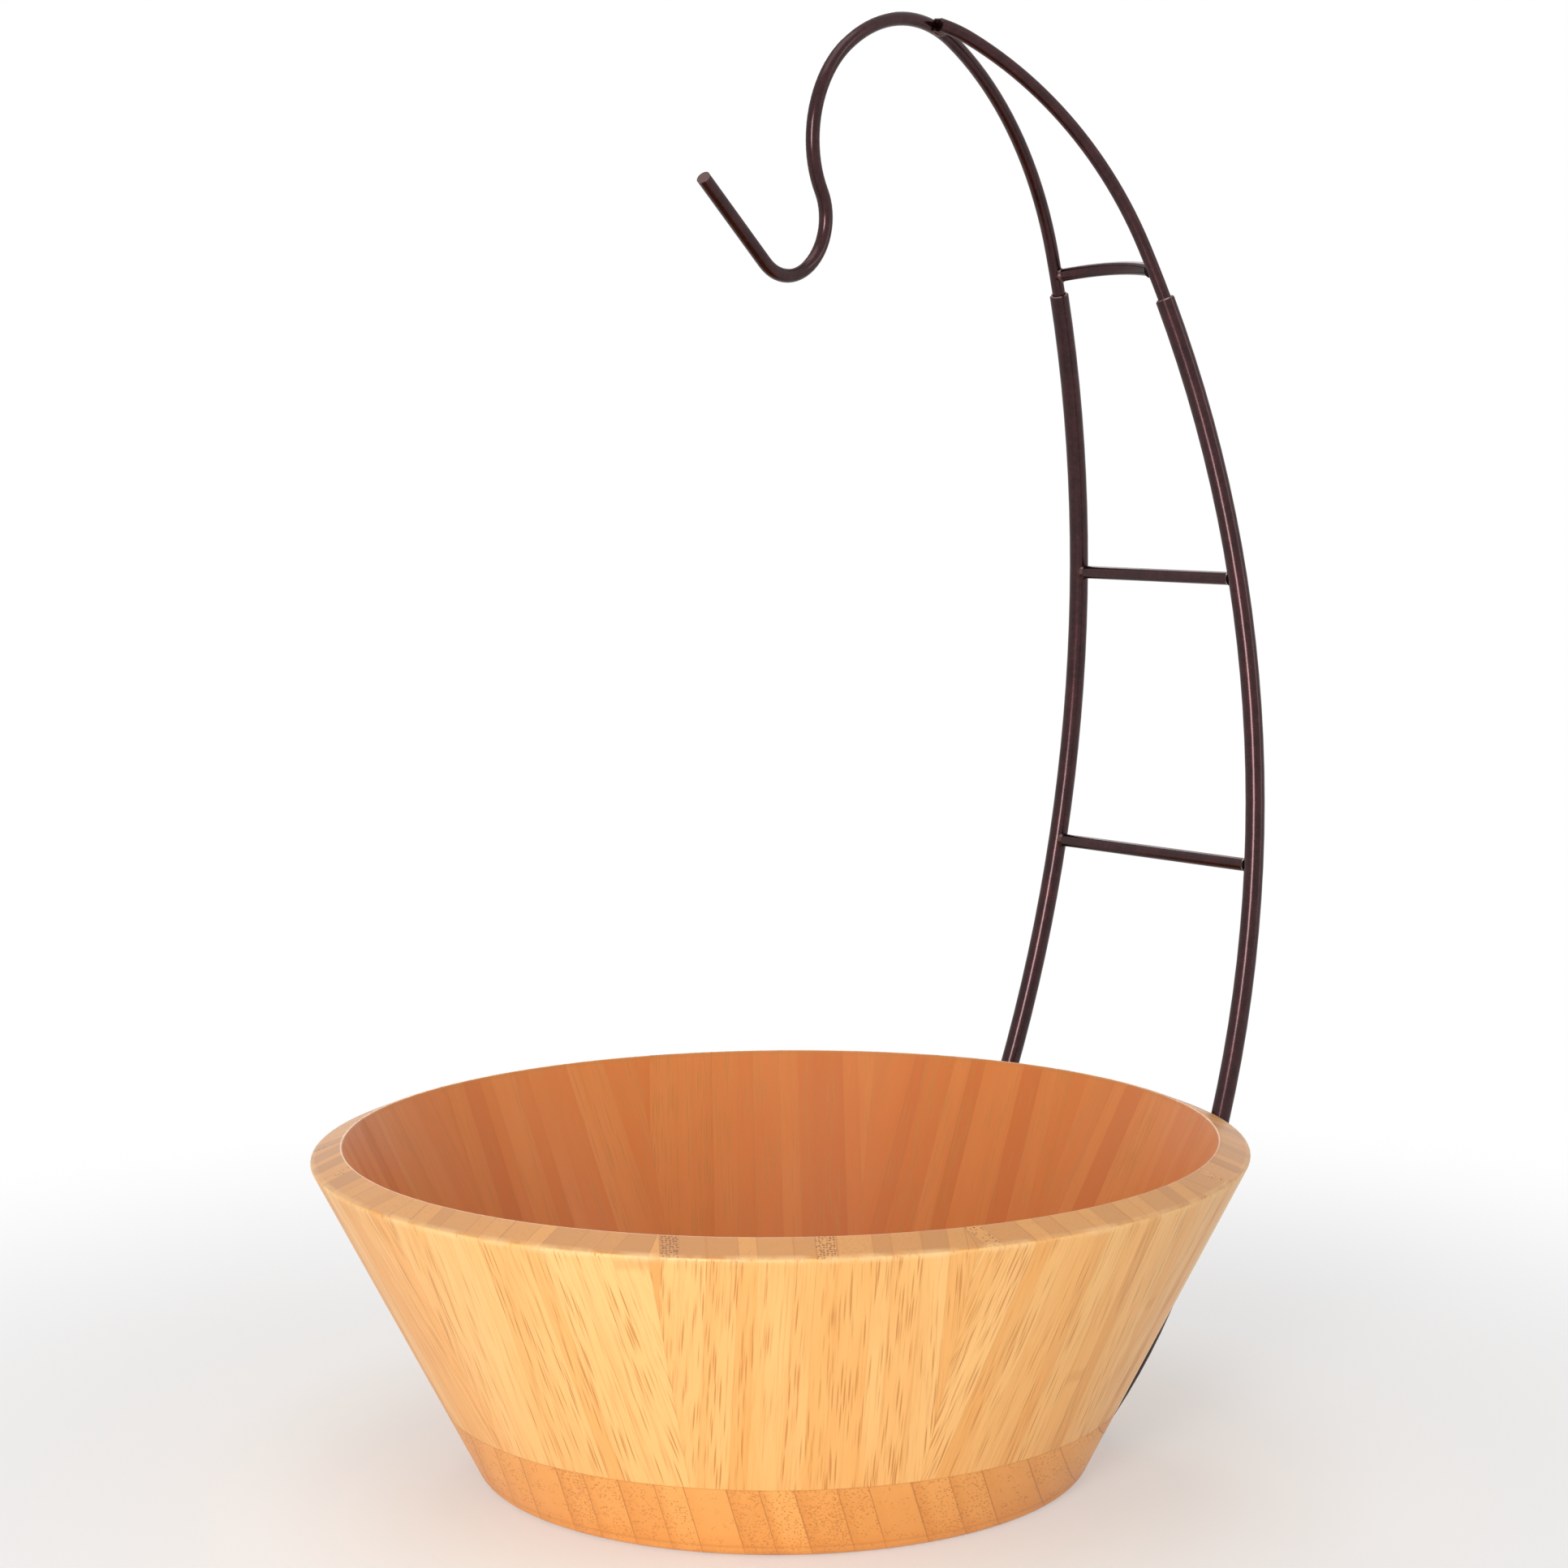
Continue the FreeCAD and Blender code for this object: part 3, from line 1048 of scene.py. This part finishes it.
@dataclass(frozen=True)
class HangerPaint:
    """Semi-gloss dark bronze paint over steel, with a fine speckle.

    Lengths are in millimetres, a pitch is in patches per millimetre, and an edge is the
    start and the end of a soft step.
    """

    slot: str
    deep: Tone = Tone(0.020, 0.0030, 0.0040)
    maroon: Tone = Tone(0.048, 0.0105, 0.0125)
    fleck: Tone = Tone(0.110, 0.0560, 0.0580)
    # rubbed: worn paint on the welds, and a painted glint on the bare cut ends of the bars
    rubbed: Tone = Tone(0.170, 0.1000, 0.0950)
    broad_pitch: float = 0.11
    mottle_pitch: float = 0.55
    dust_pitch: float = 3.6
    speck_pitch: float = 0.8
    noise_rough: float = 0.6
    dust_rough: float = 0.7
    tone_edge: Span = (0.35, 0.85)
    tone_share: float = 0.6
    dust_edge: Span = (0.55, 0.80)
    dust_share: float = 0.22
    speck_edge: Span = (0.08, 0.20)
    speck_patches: Span = (0.52, 0.62)
    speck_share: float = 0.45
    rub_patches: Span = (0.42, 0.60)
    wear_and_glint_share: float = 0.85
    rub_metal: float = 0.10
    metal: float = 0.85
    matt: float = 0.27
    mottle_matt: float = 0.12
    dust_matt: float = 0.10
    rub_matt: float = -0.04
    peel: float = 0.008
    bump: float = 0.6
    ends: Tuple[BarEnd, ...] = ()
    worn: float = 0.0
    gloss: Gloss = Gloss(
        coat=0.52, coat_roughness=0.18, specular=0.30, tint=Tone(0.42, 0.30, 0.30)
    )

    def build(self) -> bpy.types.Material:
        """Returns: the material of the painted metal."""
        material, sheet = new_finish(self.slot)
        place = sheet.place()
        here = sheet.vector(*place)
        broad = sheet.noise(here, self.broad_pitch, 3.0, self.noise_rough)
        mottle = sheet.noise(here, self.mottle_pitch, 3.0, self.noise_rough)
        dust = sheet.noise(here, self.dust_pitch, 2.0, self.dust_rough)
        fine = sheet.vector(*(way * self.speck_pitch for way in place))
        specks = sheet.cells(fine).fall(*self.speck_edge) * mottle.rise(*self.speck_patches)
        wear_and_glint = mottle.rise(*self.rub_patches) * self.worn
        # The cut ends of the bars get the pale tone as a painted glint.
        for end in self.ends:
            wear_and_glint = end.edge(place).most(wear_and_glint)

        amount = ((broad + mottle) * self.tone_share).rise(*self.tone_edge)
        colour = sheet.mix(amount, self.deep, self.maroon)
        colour = sheet.mix(dust.rise(*self.dust_edge) * self.dust_share, colour, self.fleck)
        colour = sheet.mix(specks * self.speck_share, colour, self.fleck)
        # Wear patches on the welds, and a painted glint on the bare cut ends of the bars.
        colour = sheet.mix(wear_and_glint * self.wear_and_glint_share, colour, self.rubbed)

        matt = (mottle - 0.5) * self.mottle_matt + (dust - 0.5) * self.dust_matt
        inputs = self.gloss.settings()
        inputs["Base Color"] = colour
        inputs["Metallic"] = wear_and_glint * self.rub_metal + self.metal
        inputs["Roughness"] = matt + wear_and_glint * self.rub_matt + self.matt
        inputs["Normal"] = sheet.bump((dust + mottle) * 0.5, self.peel, self.bump)
        sheet.principled(inputs)
        return material


@dataclass(frozen=True)
class Bowl:
    """The conical wall and the disc that it stands on."""

    wall: StaveBamboo = StaveBamboo()
    disc: DiscBamboo = DiscBamboo()

    def dress(self, nodes: Dict[str, bpy.types.Object]) -> None:
        """Gives the bowl its finishes.

        Args:
            nodes: the CAD nodes by name.
        """
        paint_node(nodes["bowl_wall"], self.wall.build())
        paint_node(nodes["base_disc"], self.disc.build())


@dataclass(frozen=True)
class Hanger:
    """The two tubes, the rungs, the plug-in rods and their weld beads."""

    left_end: BarEnd = BarEnd((-24.2, 139.5, 364.7), (0.159, -0.344, 0.926))
    right_end: BarEnd = BarEnd((24.7, 140.6, 361.8), (-0.157, -0.337, 0.929))
    hook_end: BarEnd = BarEnd((11.4, -34.5, 394.6), (0.205, -0.752, 0.626))
    tubes: Tuple[str, ...] = ("left_upright", "right_upright")
    rods: Tuple[str, ...] = (
        "lower_rung", "middle_rung", "arched_rung", "hook_wire", "side_wire",
    )
    welds: Tuple[str, ...] = ("rung_welds", "top_welds")
    weld_paint: HangerPaint = HangerPaint(
        "weld_paint",
        deep=Tone(0.045, 0.022, 0.022),
        maroon=Tone(0.090, 0.042, 0.042),
        matt=0.24,
        peel=0.06,
        worn=0.25,
    )

    def dress(self, nodes: Dict[str, bpy.types.Object]) -> None:
        """Gives the metal its finishes.

        Args:
            nodes: the CAD nodes by name.
        """
        tube = HangerPaint("tube_paint", ends=(self.left_end, self.right_end))
        rod = HangerPaint("rod_paint", ends=(self.hook_end,))
        for names, paint in (
            (self.tubes, tube), (self.rods, rod), (self.welds, self.weld_paint)
        ):
            finish = paint.build()
            for name in names:
                paint_node(nodes[name], finish)


@dataclass(frozen=True)
class PhotoCamera:
    """The photograph's camera. Lengths in millimetres, angles in degrees, focus in pixels."""

    focus: float = 4138.8
    distance: float = 1027.06
    height: float = 323.92
    azimuth: float = 52.158
    pitch: float = 6.194
    yaw: float = 0.113
    roll: float = -0.468
    sensor: float = 36.0
    nearest_metres: float = 0.05
    furthest_metres: float = 50.0

    def place(self) -> bpy.types.Object:
        """Returns: the camera, set as the scene's."""
        data = bpy.data.cameras.new("photo_camera")
        data.sensor_fit = "HORIZONTAL"
        data.sensor_width = self.sensor
        data.lens = self.focus / PHOTO_PIXELS * self.sensor
        data.clip_start = self.nearest_metres
        data.clip_end = self.furthest_metres
        camera = bpy.data.objects.new("photo_camera", data)
        bpy.context.collection.objects.link(camera)
        around = math.radians(self.azimuth)
        spot = Vector(
            (self.distance * math.sin(around), -self.distance * math.cos(around), self.height)
        )
        turn = (
            Matrix.Rotation(around - math.radians(self.yaw), 3, "Z")
            @ Matrix.Rotation(math.radians(90.0 - self.pitch), 3, "X")
            @ Matrix.Rotation(math.radians(self.roll), 3, "Z")
        )
        camera.matrix_world = Matrix.Translation(spot / MILLIMETRES) @ turn.to_4x4()
        bpy.context.scene.camera = camera
        LOG.info("camera %.0f mm away, lens %.1f mm", self.distance, data.lens)
        return camera


@dataclass(frozen=True)
class Lamp:
    """A soft box that looks at the object. Degrees, metres and watts."""

    name: str
    azimuth: float
    elevation: float
    distance: float
    width: float
    height: float
    power: float
    tint: Tone = WHITE

    def place(self, target: Vector) -> bpy.types.Object:
        """Hangs the lamp.

        Args:
            target: the point that it looks at.

        Returns:
            The lamp.
        """
        data = bpy.data.lights.new(self.name, "AREA")
        data.shape = "RECTANGLE"
        data.size = self.width
        data.size_y = self.height
        data.energy = self.power
        data.color = self.tint.rgba()[:3]
        lamp = bpy.data.objects.new(self.name, data)
        bpy.context.collection.objects.link(lamp)
        a, e = math.radians(self.azimuth), math.radians(self.elevation)
        back = Vector((math.sin(a) * math.cos(e), -math.cos(a) * math.cos(e), math.sin(e)))
        lamp.location = target + back * self.distance
        lamp.rotation_mode = "QUATERNION"
        lamp.rotation_quaternion = back.to_track_quat("Z", "Y")
        LOG.info("lamp %s, %.1f W", self.name, self.power)
        return lamp


@dataclass(frozen=True)
class Studio:
    """The plain white surroundings: a floor, a soft sky and a few soft boxes.

    Lengths are in metres, apart from the floor's fade, which is in millimetres.
    """

    floor_size: float = 12.0
    floor_tone: Tone = Tone(0.93, 0.93, 0.93)
    floor_matt: float = 0.9
    floor_lift: float = 0.35
    floor_fade: Span = (190.0, 560.0)
    fill: float = 0.40
    target: Tuple[float, float, float] = (0.0, 0.02, 0.17)
    lamps: Tuple[Lamp, ...] = (
        Lamp("key_box", 33.0, 5.0, 1.5, 0.36, 0.66, 13.4, Tone(1.0, 0.985, 0.97)),
        Lamp("top_box", 20.0, 78.0, 1.5, 1.10, 1.10, 6.0),
        Lamp("side_box", 128.0, 16.0, 1.8, 0.30, 1.10, 2.4),
        Lamp("back_box", 238.0, 26.0, 1.8, 0.50, 1.00, 5.0),
    )

    def build(self) -> None:
        """Makes the floor, the world and the lamps."""
        self._world()
        self._floor()
        for lamp in self.lamps:
            lamp.place(Vector(self.target))

    def _seen(self, sheet: NodeSheet) -> Signal:
        """Tells how the surroundings are met.

        Args:
            sheet: the sheet to build on.

        Returns:
            1 for rays that show them, 0 for rays that gather their light.
        """
        path = sheet.node("ShaderNodeLightPath")
        camera, glossy, through = (
            sheet.out(path, name)
            for name in ("Is Camera Ray", "Is Glossy Ray", "Is Transmission Ray")
        )
        return camera.most(glossy).most(through)

    def _world(self) -> None:
        """Makes a sky that looks white and gives a soft even light."""
        world = bpy.data.worlds.new("soft_sky")
        bpy.context.scene.world = world
        world.use_nodes = True
        sheet = NodeSheet(world.node_tree)
        seen = self._seen(sheet)
        strength = seen + (1.0 - seen) * self.fill
        sky = sheet.node("ShaderNodeBackground", None, {"Color": WHITE, "Strength": strength})
        sheet.finish(sheet.out(sky), "ShaderNodeOutputWorld")

    def _floor(self) -> None:
        """Makes the floor, which keeps the shadow and fades to white far out."""
        bpy.ops.mesh.primitive_plane_add(size=self.floor_size, location=(0.0, 0.0, 0.0))
        floor = bpy.context.active_object
        floor.name = "studio_floor"
        material, sheet = new_finish("studio_floor")
        x, y, _ = sheet.place()
        far = (x * x + y * y).root().rise(*self.floor_fade)
        lift = between((self.floor_lift, 1.0), far) * self._seen(sheet)
        surface: Inputs = {"Base Color": self.floor_tone, "Roughness": self.floor_matt}
        matt = sheet.out(sheet.node("ShaderNodeBsdfPrincipled", None, surface))
        white = sheet.out(sheet.node("ShaderNodeEmission", None, {"Color": WHITE}))
        blend = sheet.node("ShaderNodeMixShader", None, {0: lift, 1: matt, 2: white})
        sheet.finish(sheet.out(blend))
        floor.data.materials.append(material)


def paint_node(node: bpy.types.Object, material: bpy.types.Material) -> None:
    """Puts one finish in all the material slots of a CAD node.

    Args:
        node: the CAD node.
        material: its finish.
    """
    for slot in node.material_slots:
        slot.material = material
    LOG.info("%s wears %s", node.name, material.name)


def main() -> None:
    """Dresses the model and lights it."""
    logging.basicConfig(level=logging.INFO, format="%(name)s: %(message)s")
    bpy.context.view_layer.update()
    scene = bpy.context.scene
    scene.view_settings.view_transform = "Standard"
    PhotoCamera().place()
    Studio().build()
    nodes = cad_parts
    Bowl().dress(nodes)
    Hanger().dress(nodes)


if __name__ == "__main__":
    main()
